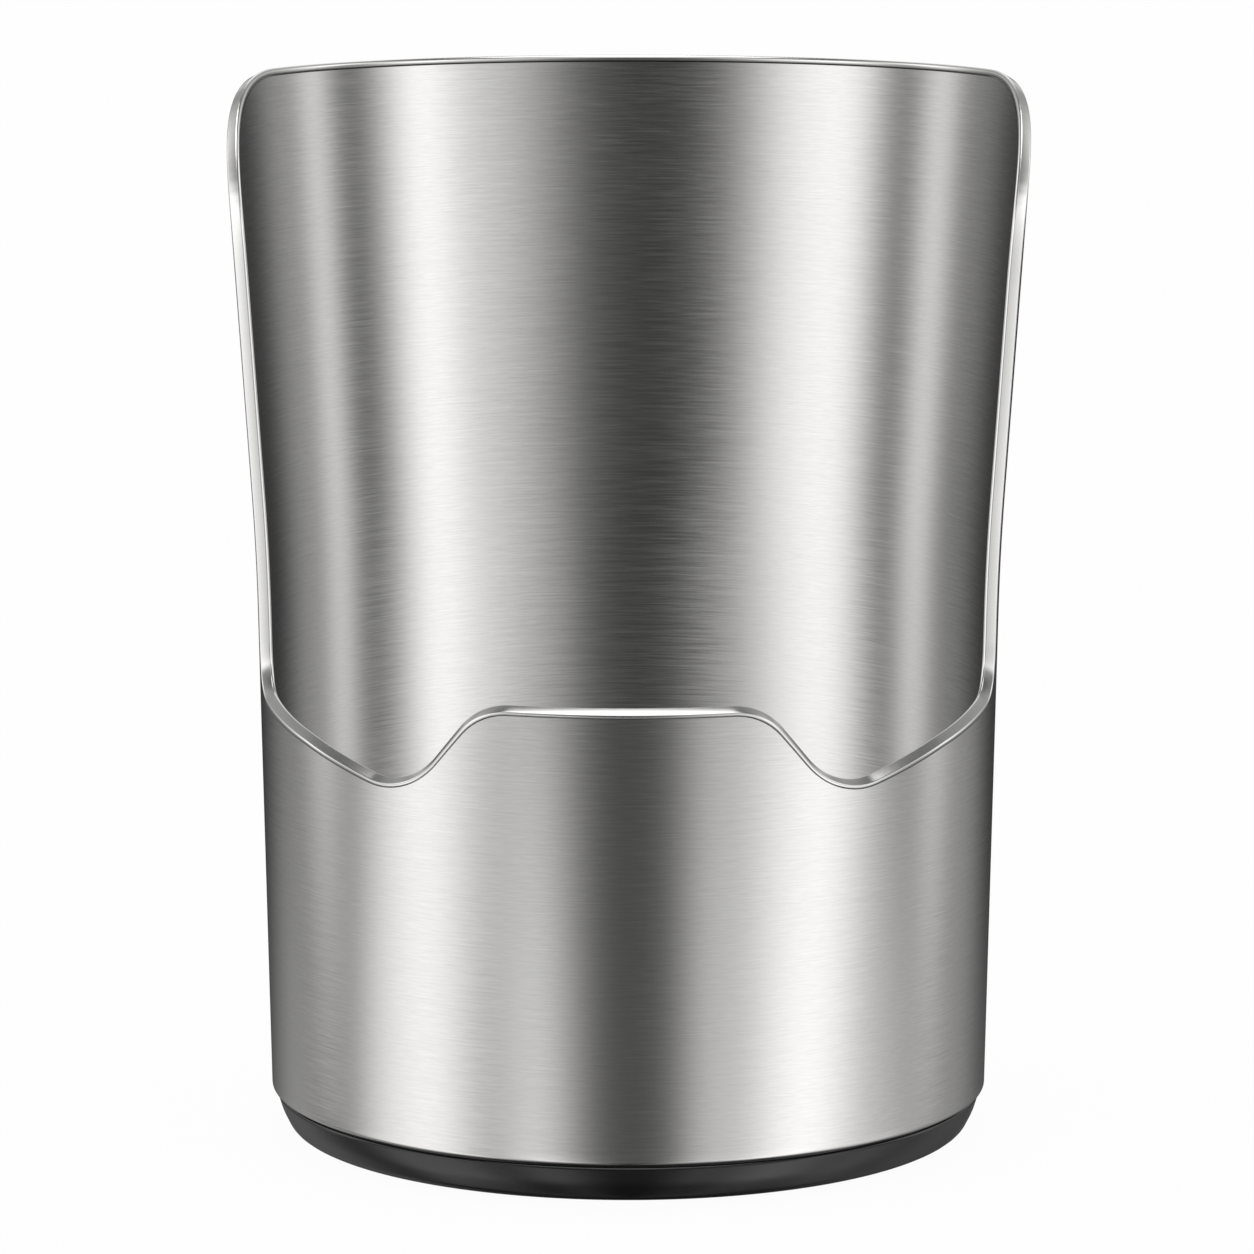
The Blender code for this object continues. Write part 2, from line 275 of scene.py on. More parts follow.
skin_tone = (0.666, 0.66, 0.649)
shell_steel = brushed_steel("shell_steel", skin_tone, 0.17, 0.4)
liner_steel = brushed_steel("liner_steel", skin_tone, 0.17, 0.4)
print("brushed:", shell_steel.name, liner_steel.name)

# %% [markdown]
# ## The polished rim
#
# The rim is smoother and paler than the walls, with hairlines left by the polishing wheel that
# run whichever way it was held. A low roughness gives the sharp highlights. The hairlines are
# one stretched noise in the bump, too fine to see singly. Under the rim the steel is painted dark,
# as shade for the gap where the rim meets the skins. The rim's mesh marks that part with an
# attribute named "seam", which the finish reads.

# %% The polished finish
def polished_steel(name, tone, roughness):
    """Bright steel with faint hairlines and a soft haze, duller in its seam and painted dark there as
    shade.
    """
    made, bench, shader = finish(name)
    place = bench.object_place()
    x, y, z = bench.split(place)
    hair = bench.noise(bench.vector(x * 500 + z * 900, y * 500, z * 500 - x * 900), 1.0, 3.0)
    haze = bench.noise(place, 60.0, 2.0)
    seam = bench.carried("seam")
    bright = bench.blend(haze, shade(tone, 0.96), shade(tone, 1.04))
    feed(shader, bench, {
        # Painted shade: the seam is darkened for the shadow in its gap under the rim.
        "Base Color": bench.blend(seam, bright, painted_shade_steel),
        "Metallic": 1.0,
        "Roughness": roughness + (haze - 0.5) * 0.06 + (hair - 0.5) * 0.04 + seam * 0.35,
        "Normal": bench.bump(0.15, hairline_depth, hair),
    })
    return made


rim_steel = polished_steel("rim_steel", (0.77, 0.764, 0.754), 0.17)
print("polished:", rim_steel.name)

# %% [markdown]
# ## Gloss black plastic
#
# The base is moulded in a polished tool. Its black is nearly all reflection, so the colour is
# very dark and the gloss does the work. Real gloss plastic is never dead flat: the bump has the
# faint skin that a moulding keeps, and the roughness has wipe marks.

# %% The moulded finishes
def plastic(name, tone, roughness, skin_scale, skin_depth):
    """Moulded plastic or rubber: one colour with a little dust, and the skin of the mould."""
    made, bench, shader = finish(name)
    place = bench.object_place()
    skin = bench.noise(place, skin_scale, 3.0)
    wipe = bench.noise(place, 90.0, 2.0)
    dust = bench.share(bench.noise(place, 2400.0, 2.0), 0.66, 0.8)
    feed(shader, bench, {
        "Base Color": bench.blend(dust, shade(tone, 1), shade(tone, 2.5)),
        "Roughness": roughness + (wipe - 0.5) * 0.06,
        "Normal": bench.bump(0.3, skin_depth, skin),
    })
    return made


base_plastic = plastic("base_plastic", (0.010, 0.010, 0.011), 0.12, 700.0, 0.00001)
pad_rubber = plastic("pad_rubber", (0.045, 0.044, 0.043), 0.80, 3500.0, 0.00004)
print("moulded:", base_plastic.name, pad_rubber.name)

# %% [markdown]
# ## The fittings inside
#
# A pressed pan, four nuts and four screws hold the base on. They are hidden, so their CAD shapes
# stay and only their finish is made: rolled sheet for the pan, zinc with its cloudy patches for
# the screws, and turned steel with a trace of oil for the nuts.

# %% The plain steels
def plain_steel(name, tone, roughness, cloud_scale, depth):
    """Unpolished steel: clouds in the colour, and a grain in the roughness and the bump."""
    made, bench, shader = finish(name)
    place = bench.object_place()
    cloud = bench.noise(place, cloud_scale, 4.0)
    grain = bench.noise(place, cloud_scale * 12, 2.0)
    feed(shader, bench, {
        "Base Color": bench.blend(bench.share(cloud, 0.3, 0.7), shade(tone, 0.85), shade(tone, 1)),
        "Metallic": 1.0,
        "Roughness": roughness + (cloud - 0.5) * 0.15 + (grain - 0.5) * 0.08,
        "Normal": bench.bump(0.3, depth, grain),
    })
    return made


fitting_finishes = {
    "mounting_pan": plain_steel("pan_steel", (0.52, 0.52, 0.52), 0.40, 120.0, 0.00003),
    "base_screw": plain_steel("screw_steel", (0.70, 0.69, 0.66), 0.30, 500.0, 0.00002),
    "weld_nut": plain_steel("nut_steel", (0.55, 0.55, 0.54), 0.36, 400.0, 0.00002),
}
for node_name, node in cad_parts.items():
    for start, steel in fitting_finishes.items():
        if node_name.startswith(start):
            node.data.materials.clear()
            node.data.materials.append(steel)
            print(node_name, "gets", steel.name)

# %% [markdown]
# ## The walls' rule
#
# Both skins follow one rule. From the foot up to a waist at 100.6 mm the wall's radius grows by
# 1.9 mm, from there to the top by 5.3 mm, and the two tapers blend over 20 mm. A loft through a
# few rings could copy it by eye. The rule itself, used by every piece, keeps them parallel.

# %% The body's sizes and its radius at a height
waist_radius = 0.0635
waist_height = 0.1006
waist_blend = 0.010
foot_height = 0.0076
rim_height = 0.1808
foot_growth = 0.0019
top_growth = 0.0053
foot_slope = foot_growth / (waist_height - foot_height)
top_slope = top_growth / (rim_height - waist_height)
sheet_thickness = 0.0005
wall_width = 0.0022


def wall_radius(height):
    """Outer radius of the steel at a height."""
    above = height - waist_height
    eased = min(max((above + waist_blend) / (2 * waist_blend), 0), 1)
    flare = eased ** 2 * waist_blend + max(above - waist_blend, 0)
    return waist_radius + foot_slope * above + (top_slope - foot_slope) * flare


for height in (foot_height, waist_height, rim_height):
    print(f"radius at {height * 1000:.1f} mm: {wall_radius(height) * 1000:.2f} mm")

# %% [markdown]
# ## The cutting pattern
#
# The maker cuts the opening in a flat sheet, then rolls the sheet into the cup. The same works
# here: the outline is a line of corners on the flat sheet, x along the girth and y up, from the
# back seam round the front to the back seam again. Each corner carries the radius that rounds
# it, as an attribute that the node trees read. Its middle is the raised lip, with a dip for a
# thumb on each side.

# %% A line of corners with their rounding
def pattern(name, corners):
    """An open line through corners of (x, y, rounding), as a mesh of edges."""
    mesh = bpy.data.meshes.new(name)
    places = [(x, y, 0) for x, y, _ in corners]
    mesh.from_pydata(places, [(i, i + 1) for i in range(len(corners) - 1)], [])
    rounding = mesh.attributes.new("round", "FLOAT", "POINT")
    rounding.data.foreach_set("value", [radius for _, _, radius in corners])
    return mesh


half_girth = math.pi * waist_radius
side_reach = 0.0910
back_height = 0.1797
half_opening = [
    (0.0237, 0.0823, 0.0113),
    (0.0377, 0.0669, 0.0146),
    (0.0634, 0.0728, 0.054),
    (side_reach, 0.0778, 0.009),
    (side_reach, back_height, 0.033),
    (half_girth, back_height, 0.0),
]
opening = [(-x, y, radius) for x, y, radius in reversed(half_opening)] + half_opening
print("corners in the opening's outline:", len(opening))

# %% [markdown]
# ## Trees with named sizes
#
# Every tree here starts the same way: a Geometry socket and one named input for each size. A
# modifier's inputs are set by the socket's identifier, before the piece is first evaluated. At
# the end the evaluated shape becomes a plain mesh and the modifier goes, because the exported
# model knows nothing of node trees. Most shapes here are a flat grid whose points are moved, so
# the helpers below make the grid, read a line or a section for it, and put its points in place.

# %% Start and end a geometry tree
weld_distance = 0.000005


def new_tree(name, sizes):
    """A geometry tree with a named input for each size. Gives its bench and the inputs' wires."""
    tree = bpy.data.node_groups.new(name, "GeometryNodeTree")
    kinds = {float: "NodeSocketFloat", int: "NodeSocketInt", bool: "NodeSocketBool"}
    tree.interface.new_socket("Geometry", in_out="INPUT", socket_type="NodeSocketGeometry")
    for size, value in sizes.items():
        made = tree.interface.new_socket(size, in_out="INPUT", socket_type=kinds[type(value)])
        made.default_value = value
    tree.interface.new_socket("Section", in_out="INPUT", socket_type="NodeSocketObject")
    tree.interface.new_socket("Finish", in_out="INPUT", socket_type="NodeSocketMaterial")
    tree.interface.new_socket("Geometry", in_out="OUTPUT", socket_type="NodeSocketGeometry")
    bench = Bench(tree)
    source = tree.nodes.new("NodeGroupInput")
    return bench, {s.name: Wire(bench, s) for s in source.outputs if s.name}


def close_tree(bench, mesh, sizes):
    """Welds the seam and the pole, smooths, sets the finish and ends the tree."""
    sockets = {"Geometry": mesh, "Distance": weld_distance}
    mesh = bench.node("GeometryNodeMergeByDistance", {}, sockets)
    mesh = bench.node("GeometryNodeSetShadeSmooth", {}, {"Geometry": mesh})
    mesh = bench.node("GeometryNodeRealizeInstances", {}, {"Geometry": mesh})
    mesh = bench.node("GeometryNodeSetMaterial", {}, {"Geometry": mesh, "Material": sizes["Finish"]})
    bench.tree.links.new(mesh.socket, bench.tree.nodes.new("NodeGroupOutput").inputs["Geometry"])


# %% Put a tree on a piece and make it plain
crease_angle = math.radians(32)


def add_piece(name, mesh):
    piece = bpy.data.objects.new(name, mesh)
    bpy.context.scene.collection.objects.link(piece)
    return piece


def fit_tree(piece, tree, values):
    """Puts the tree on a piece, with its inputs set by their identifiers."""
    modifier = piece.modifiers.new(tree.name, "NODES")
    modifier.node_group = tree
    for item in tree.interface.items_tree:
        if item.in_out == "INPUT" and item.name in values:
            modifier[item.identifier] = values[item.name]


def plain_mesh(piece):
    """Turns the evaluated shape into the piece's own mesh, with its creases marked."""
    graph = bpy.context.evaluated_depsgraph_get()
    mesh = bpy.data.meshes.new_from_object(piece.evaluated_get(graph))
    piece.modifiers.clear()
    piece.data = mesh
    mesh.name = piece.name
    mesh.set_sharp_from_angle(angle=crease_angle)
    triangles = sum(len(face.vertices) - 2 for face in mesh.polygons)
    print(f"{piece.name}: {triangles} triangles")


# %% Lines and grids for the trees
def on_points(bench, name):
    """A number that the mesh or the line carries at each point."""
    return bench.node("GeometryNodeInputNamedAttribute", {"data_type": "FLOAT"}, {"Name": name})


def rounded_line(bench, mesh, steps):
    """A pattern's corners as a line, each rounded in so many steps."""
    line = bench.node("GeometryNodeMeshToCurve", {}, {"Mesh": mesh})
    sockets = {"Curve": line, "Count": steps, "Radius": on_points(bench, "round")}
    return bench.node("GeometryNodeFilletCurve", {"mode": "POLY"}, sockets)


def smooth_outline(bench, mesh, points):
    """A pattern's rounded line, divided evenly."""
    sockets = {"Curve": rounded_line(bench, mesh, 24), "Count": points}
    return bench.node("GeometryNodeResampleCurve", {"mode": "COUNT"}, sockets)


def place_on_line(bench, line, share):
    """The place and the direction at a share of a line's length."""
    sockets = {"Curves": line, "Factor": share}
    return bench.node("GeometryNodeSampleCurve", {"mode": "FACTOR"}, sockets, out=("Position", "Tangent"))


def from_section(bench, section, kind, value, row):
    """What a section's point has, for the row of the grid that stands for it."""
    settings = {"data_type": kind, "domain": "POINT"}
    sockets = {"Geometry": section, "Value": value, "Index": row}
    return bench.node("GeometryNodeSampleIndex", settings, sockets)


def unit_grid(bench, columns, rows):
    """A grid one metre wide and high, with each point's x and y, from -0.5 to 0.5."""
    sockets = {"Size X": 1.0, "Size Y": 1.0, "Vertices X": columns, "Vertices Y": rows}
    grid = bench.node("GeometryNodeMeshGrid", {}, sockets, out=("Mesh",))[0]
    x, y, _ = bench.split(bench.node("GeometryNodeInputPosition"))
    return grid, x, y


def moved(bench, mesh, place):
    """A mesh with every point put in its place."""
    return bench.node("GeometryNodeSetPosition", {}, {"Geometry": mesh, "Position": place})


def marked(bench, mesh, name, value):
    """A mesh that carries a number at each point under a name."""
    settings = {"data_type": "FLOAT", "domain": "POINT"}
    sockets = {"Geometry": mesh, "Name": name, "Value": value}
    return bench.node("GeometryNodeStoreNamedAttribute", settings, sockets)


# %% The walls' rule and the roll, as nodes
def wall_wire(bench, sizes, height):
    """The walls' rule as nodes, from the tree's named sizes."""
    above = height - sizes["Waist height"]
    blend = sizes["Waist blend"]
    eased = bench.part(above + blend, blend * 2)
    flare = eased * eased * blend + bench.math("MAXIMUM", above - blend, 0.0)
    foot_taper = sizes["Foot slope"] * above
    return sizes["Waist radius"] + foot_taper + (sizes["Top slope"] - sizes["Foot slope"]) * flare


def rolled(bench, sizes, reach, radius, height):
    """A place on the flat sheet after the sheet is rolled round the axis."""
    angle = reach / sizes["Waist radius"]
    x = radius * bench.math("SINE", angle)
    y = sizes["Axis Y"] - radius * bench.math("COSINE", angle)
    return bench.vector(x, y, height)


wall_sizes = {
    "Waist radius": waist_radius,
    "Waist height": waist_height,
    "Waist blend": waist_blend,
    "Foot slope": foot_slope,
    "Top slope": top_slope,
    "Axis Y": axis_y,
}
print("sizes that the skins and the rim share:", ", ".join(wall_sizes))

# %% [markdown]
# ## The two skins
#
# Each skin is one sheet: the outer one turns in under the foot, the inner one runs on into its
# floor. A grid stands for the sheet. Its columns rise from the foot to the outline, and its
# lowest rows lie on the floor and round the bend. Leaning the columns towards the opening's
# corners keeps the faces even where the cut edge stands upright. Cutting a finished cup with a
# Boolean would be quicker to write, but would leave long thin faces that spoil the reflections.

# %% The tree of a rolled skin
skin, sizes = new_tree("rolled skin", {
    **wall_sizes,
    "Inset": 0.0,
    "Low": foot_height,
    "Bend": 0.0015,
    "Inner radius": 0.05,
    "Edge gap": 0.0003,
    "Columns": 481,
    "Rows": 70,
    "Floor rows": 2,
    "Bend rows": 8,
    "Seen from inside": False,
    "Front share": 0.332,
    "Front foot": 0.103,
    "Side share": 0.411,
    "Side foot": 0.065,
})
outline = smooth_outline(skin, sizes["Geometry"], sizes["Columns"])
tangent = skin.node("GeometryNodeInputTangent")
down = skin.node("ShaderNodeVectorMath", {"operation": "CROSS_PRODUCT"}, {0: tangent, 1: (0, 0, 1)})
down = skin.node("ShaderNodeVectorMath", {"operation": "SCALE"}, {0: down, "Scale": sizes["Edge gap"]})
outline = skin.node("GeometryNodeSetPosition", {}, {"Geometry": outline, "Offset": down})

sheet, grid_x, grid_y = unit_grid(skin, sizes["Columns"], sizes["Rows"])
along = grid_x + 0.5
row = (grid_y + 0.5) * (sizes["Rows"] - 1)
edge_place, edge_run = place_on_line(skin, outline, along)
edge_reach, edge_height, _ = skin.split(edge_place)
run_x, run_y, _ = skin.split(edge_run)

# %% Floor, bend and wall of the skin
lower_rows = sizes["Floor rows"] + sizes["Bend rows"]
on_floor = skin.part(row, sizes["Floor rows"])
on_bend = skin.part(row - sizes["Floor rows"], sizes["Bend rows"]) * (math.pi / 2)
on_wall = skin.part(row - lower_rows, sizes["Rows"] - 1 - lower_rows)
bend_top = sizes["Low"] + sizes["Bend"]
from_front = skin.math("ABSOLUTE", along * 2 - 1)
side = skin.math("SIGN", along * 2 - 1)
past_front = from_front - sizes["Front share"]
past_side = past_front - sizes["Side share"]
back_share = 1 - sizes["Front share"] - sizes["Side share"]
back_foot = sizes["Waist radius"] * math.pi - sizes["Front foot"] - sizes["Side foot"]
foot_reach = side * (
    skin.part(from_front, sizes["Front share"]) * sizes["Front foot"]
    + skin.part(past_front, sizes["Side share"]) * sizes["Side foot"]
    + skin.part(past_side, back_share) * back_foot
)
reach = foot_reach + (edge_reach - foot_reach) * on_wall
height = bend_top + (edge_height - bend_top) * on_wall
bend_radius = wall_wire(skin, sizes, bend_top) - sizes["Inset"]
floor_width = bend_radius - sizes["Bend"] - sizes["Inner radius"]
radius = (
    wall_wire(skin, sizes, height) - sizes["Inset"]
    - sizes["Bend"] * (1 - skin.math("SINE", on_bend))
    - floor_width * (1 - on_floor)
)
height = height - sizes["Bend"] * skin.math("COSINE", on_bend)
from_edge = skin.math("ABSOLUTE", (edge_reach - reach) * run_y - (edge_height - height) * run_x)
sheet = marked(skin, sheet, "from edge", from_edge)
sheet = moved(skin, sheet, rolled(skin, sizes, reach, radius, height))
sheet = skin.node("GeometryNodeFlipFaces", {}, {"Mesh": sheet, "Selection": sizes["Seen from inside"]})
close_tree(skin, sheet, sizes)
print("nodes in the skin's tree:", len(skin.tree.nodes))

# %% [markdown]
# The tree makes the face that shows. A Solidify modifier behind it gives the sheet its half
# millimetre, away from the side that shows. The skins, and later the rim, are left out of
# mirrored rays. A steel cup that mirrors itself goes dark towards its bottom, while the
# photograph's cup keeps the same bright bands down to the lip, so here each wall mirrors the
# studio only.

# %% Outer shell and inner liner
def rolled_skin(name, finish_of_skin, values):
    """One skin of the cup, with its thickness."""
    piece = add_piece(name, pattern(name, opening))
    fit_tree(piece, skin.tree, {"Finish": finish_of_skin, **values})
    behind = piece.modifiers.new("sheet thickness", "SOLIDIFY")
    behind.thickness = sheet_thickness
    behind.offset = -1
    behind.use_even_offset = True
    plain_mesh(piece)
    piece.visible_glossy = False
    return piece


solid_bend = 0.0015
flange_width = 0.0062
over_bend = wall_radius(foot_height + solid_bend)
flange_radius = over_bend - solid_bend - flange_width
shell = rolled_skin("outer_shell_sheet", shell_steel, {
    "Inset": 0.0, "Low": foot_height, "Bend": 0.0008, "Inner radius": flange_radius,
    "Floor rows": 3, "Edge gap": 0.00032, "Seen from inside": False,
})
liner = rolled_skin("inner_liner_sheet", liner_steel, {
    "Inset": wall_width, "Low": 0.0138, "Bend": 0.0045, "Inner radius": 0.0,
    "Floor rows": 6, "Edge gap": 0.00006, "Seen from inside": True,
})

# %% [markdown]
# ## The rim
#
# The rim closes the gap between the skins. It looks like a plain band, but its highlights say
# more: from the front each side shows a wide bright stripe and then a soft fall to the inside. So
# most of its top leans outwards, to a ridge near the cup, and its inner edge is well rounded. Its
# outer foot is rounded too and leaves a small groove above the shell's cut edge; that groove and
# the painted shade on the cut edge make the dark line under the slopes of the lip. The section is
# drawn once, then carried along the cutting pattern and rolled with it. Its tongue reaches down
# between the skins. Seat and tongue are the seam, which the finish paints dark as shade.

# %% The rim's section, across the wall and up from its seat
rim_section = [
    (0.0011, -0.00028, 0.00025),
    (0.0011, 0.00022, 0.0004),
    (-0.0005, 0.00108, 0.0001),
    (-0.0011, 0.00095, 0.0006),
    (-0.0011, 0.0000, 0.00004),
    (-0.0003, 0.0000, 0.00004),
    (-0.0003, -0.0030, 0.00008),
    (0.0003, -0.0030, 0.00008),
    (0.0003, -0.00028, 0.00004),
]
section_mesh = pattern("rim_section", rim_section)
section_mesh.edges.add(1)
section_mesh.edges[-1].vertices = (len(rim_section) - 1, 0)
# The seam's corners carry 1, which the rim's finish paints dark as shade.
seam = section_mesh.attributes.new("seam", "FLOAT", "POINT")
seam.data.foreach_set("value", [float(up <= 0 and across < 0.001) for across, up, _ in rim_section])
section_line = add_piece("rim_section", section_mesh)
print("corners in the rim's section:", len(rim_section), "of which in the seam:",
      sum(value.value > 0 for value in seam.data))

# %% The tree that carries a section along the outline
carry, sizes = new_tree("carried section", {**wall_sizes, "Wall width": wall_width, "Columns": 901})
outline = smooth_outline(carry, sizes["Geometry"], sizes["Columns"])
section = carry.node("GeometryNodeObjectInfo", {}, {"Object": sizes["Section"]}, out=("Geometry",))[0]
section = rounded_line(carry, section, 5)
points = carry.node("GeometryNodeAttributeDomainSize", {"component": "CURVE"}, {"Geometry": section})
band, grid_x, grid_y = unit_grid(carry, sizes["Columns"], points + 1)
row = carry.math("ROUND", carry.math("MODULO", carry.math("ROUND", (grid_y + 0.5) * points), points))
corner_place = carry.node("GeometryNodeInputPosition")
across, up, _ = carry.split(from_section(carry, section, "FLOAT_VECTOR", corner_place, row))
seam_shade_share = from_section(carry, section, "FLOAT", on_points(carry, "seam"), row)
place, tangent = place_on_line(carry, outline, grid_x + 0.5)
flat_x, flat_y, _ = carry.split(place)
outward = carry.node("ShaderNodeVectorMath", {"operation": "CROSS_PRODUCT"}, {0: (0, 0, 1), 1: tangent})
outward = carry.node("ShaderNodeVectorMath", {"operation": "NORMALIZE"}, {0: outward})
outward_x, outward_y, _ = carry.split(outward)
reach = flat_x + outward_x * up
height = flat_y + outward_y * up
radius = wall_wire(carry, sizes, height) - sizes["Wall width"] / 2 + across
band = marked(carry, band, "seam", seam_shade_share)
band = moved(carry, band, rolled(carry, sizes, reach, radius, height))
close_tree(carry, band, sizes)
print("nodes in the rim's tree:", len(carry.tree.nodes))

# %% Make the rim
rim = add_piece("rim_band", pattern("rim_band", opening))
fit_tree(rim, carry.tree, {"Section": section_line, "Finish": rim_steel})
plain_mesh(rim)
rim.visible_glossy = False
bpy.data.objects.remove(section_line)

# %% [markdown]
# ## Turned pieces
#
# The base and its pads are turned shapes. A section from the bottom of the axis, out round the
# side and back to the top of the axis is rounded at its corners and swept round. Blender's Screw
# modifier does that too. The tree rounds the corners first, so that a section stays a short list
# of sizes.

# %% The tree of a turned piece
lathe, sizes = new_tree("turned piece", {"Segments": 193, "Place X": 0.0, "Place Y": 0.0})
section = rounded_line(lathe, sizes["Geometry"], 6)
points = lathe.node("GeometryNodeAttributeDomainSize", {"component": "CURVE"}, {"Geometry": section})
turning, grid_x, grid_y = unit_grid(lathe, sizes["Segments"], points)
row = lathe.math("ROUND", (grid_y + 0.5) * (points - 1))
corner_place = lathe.node("GeometryNodeInputPosition")
radius, height, _ = lathe.split(from_section(lathe, section, "FLOAT_VECTOR", corner_place, row))
angle = grid_x * math.tau
x = sizes["Place X"] + radius * lathe.math("SINE", angle)
y = sizes["Place Y"] - radius * lathe.math("COSINE", angle)
close_tree(lathe, moved(lathe, turning, lathe.vector(x, y, height)), sizes)
print("nodes in the tree of a turned piece:", len(lathe.tree.nodes))


def turned(name, section, segments, place, finish_of_piece):
    """A turned solid at a place, as a plain mesh."""
    piece = add_piece(name, pattern(name, section))
    fit_tree(piece, lathe.tree, {
        "Segments": segments + 1, "Place X": place[0], "Place Y": place[1], "Finish": finish_of_piece,
    })
    plain_mesh(piece)
    return piece


# %% [markdown]
# ## The base
#
# Its wall leans in towards the foot, a little more low down than high up, so its shine fades
# downwards. Its top edge stops half a millimetre under the steel, which leaves the thin dark line
# round the holder. Underneath, each screw sits in a boss behind a well for its pad. Bosses and
# wells are turned pieces too, joined and cut with Booleans. A Boolean leaves slivers without any
# area where faces lie in one plane, so these are dissolved afterwards.

# %% Turn the base
base_low = 0.0008
land_height = 0.0071
seat_height = 0.0073
spigot_height = 0.0081
floor_height = 0.0030
base_top = over_bend - 0.0008
base_foot = base_top - 0.0026
knee = base_top - 0.0009
land = base_top - 0.0009
wall_in = base_top - 0.0022
wall_foot = wall_in - 0.0026
spigot = flange_radius - 0.0003
spigot_in = spigot - 0.002
base = turned("base_moulding_body", [
    (0.0, base_low, 0.0),
    (base_foot, base_low, 0.0024),
    (knee, 0.0042, 0.010),
    (base_top, land_height, 0.0004),
    (land, land_height, 0.00005),
    (land, seat_height, 0.00005),
    (wall_in, seat_height, 0.0001),
    (wall_foot, floor_height, 0.0004),
    (spigot, floor_height, 0.0004),
    (spigot, spigot_height, 0.0001),
    (spigot_in, spigot_height, 0.0001),
    (spigot_in, floor_height, 0.0004),
    (0.0, floor_height, 0.0),
], 240, (0.0, axis_y), base_plastic)

# %% Join its bosses and cut its wells
fastener_circle = flange_radius - 0.0119
fastener_places = []
for i in range(4):
    turn = math.tau * (i + 0.5) / 4
    fastener_places.append((fastener_circle * math.cos(turn), axis_y + fastener_circle * math.sin(turn)))

boss_section = [
    (0.0, 0.0019, 0.0), (0.0105, 0.0019, 0.0), (0.0105, 0.0035, 0.0003),
    (0.0058, 0.0035, 0.0003), (0.0058, 0.0084, 0.0003), (0.0, 0.0084, 0.0),
]
well_section = [
    (0.0, -0.001, 0.0), (0.0093, -0.001, 0.0), (0.0093, 0.0023, 0.0002), (0.0044, 0.0023, 0.0),
    (0.0044, 0.0053, 0.0), (0.0023, 0.0053, 0.0), (0.0023, 0.0104, 0.0), (0.0, 0.0104, 0.0),
]
cutters = []
for number, place in enumerate(fastener_places, 1):
    for operation, section in (("UNION", boss_section), ("DIFFERENCE", well_section)):
        cutter = turned(f"{operation.lower()}_{number}", section, 64, place, base_plastic)
        cutters.append(cutter)
        step = base.modifiers.new(cutter.name, "BOOLEAN")
        step.operation = operation
        step.object = cutter
plain_mesh(base)
for cutter in cutters:
    bpy.data.objects.remove(cutter)

# %% Dissolve the slivers
sliver_width = 0.000001
cleaned = bmesh.new()
cleaned.from_mesh(base.data)
bmesh.ops.dissolve_degenerate(cleaned, dist=sliver_width, edges=cleaned.edges)
cleaned.to_mesh(base.data)
cleaned.free()
print("faces in the base after cleaning:", len(base.data.polygons))

# %% Turn the four pads
pad_radius, pad_height, pad_round = 0.009, 0.002, 0.0004
pad_section = [
    (0.0, 0.0, 0.0),
    (pad_radius, 0.0, pad_round),
    (pad_radius, pad_height, pad_round),
    (0.0, pad_height, 0.0),
]
pads = []
for number, place in enumerate(fastener_places, 1):
    pads.append(turned(f"foot_pad_{number}_disc", pad_section, 72, place, pad_rubber))

# %% [markdown]
# ## Put the pieces in the frame
#
# Each new piece stands for the CAD node whose shape it shows, which is hidden, and rides on the
# one body, because nothing on this holder moves.

# %% Replace and ride
stand_for = {
    "outer_shell": (shell, "shell_steel"),
    "inner_liner": (liner, "liner_steel"),
    "rim_bead": (rim, "rim_steel"),
    "base_moulding": (base, "base_plastic"),
}
for number, pad in enumerate(pads, 1):
    stand_for[f"foot_pad_{number}"] = (pad, "pad_rubber")
for node_name, (piece, slot) in stand_for.items():
    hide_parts(node_name)
    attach(piece, "root")
print("pieces placed:", len(stand_for))

# %% [markdown]
# ## The studio
#
# Steel shows its surroundings more than itself, so the light is made from what the photograph's
# steel mirrors: upright soft boxes on both sides of the camera, a dark gap between them where the
# camera stands, narrower lights beside and behind. The inside of the cup, which leans back, shows
# them directly. The outside leans forward and shows them again in the pale table, so there are
# two rows of lights, one above the table's edge and one below it. A few raised lights serve the
# rim's slopes. Lamps could stand there too, but soft boxes with soft edges are smoother and
# quicker as a world. Each one is a lobe, brightest in its middle and fading with the angle from
# it. The backdrop that the camera sees is white.

# %% The directions of the world's light
world = bpy.data.worlds.new("studio")
world.use_nodes = True
bpy.context.scene.world = world
world.node_tree.nodes.clear()
sky = Bench(world.node_tree)
x, y, z = sky.split(sky.node("ShaderNodeTexCoord", {}, {}, out=("Generated",))[0])
never_zero = 0.000001
level_reach = sky.math("SQRT", x * x + y * y + never_zero)
to_right = x / level_reach
to_front = y / level_reach * -1
elevation = sky.math("ARCSINE", z)


def upright_box(azimuth, width, strength):
    """A soft box as tall as its row, at an azimuth from the front, positive to the right.

    All angles are in degrees. The width says how far its edges fade.
    """
    turn = math.radians(azimuth)
    beside = (to_right * math.sin(turn) + to_front * math.cos(turn) - 1) * (1 / math.radians(width) ** 2)
    return sky.math("EXPONENT", beside) * strength


def raised_box(azimuth, width, level, height, strength):
    """A soft box at a level above the horizon, which fades up and down too."""
    off_level = (elevation - math.radians(level)) * (1 / math.radians(height))
    return upright_box(azimuth, width, strength) * sky.math("EXPONENT", off_level * off_level * -1)


def between(low, high):
    """How far a direction's elevation is from a low one to a high one, in degrees."""
    return sky.share(elevation, math.radians(low), math.radians(high))


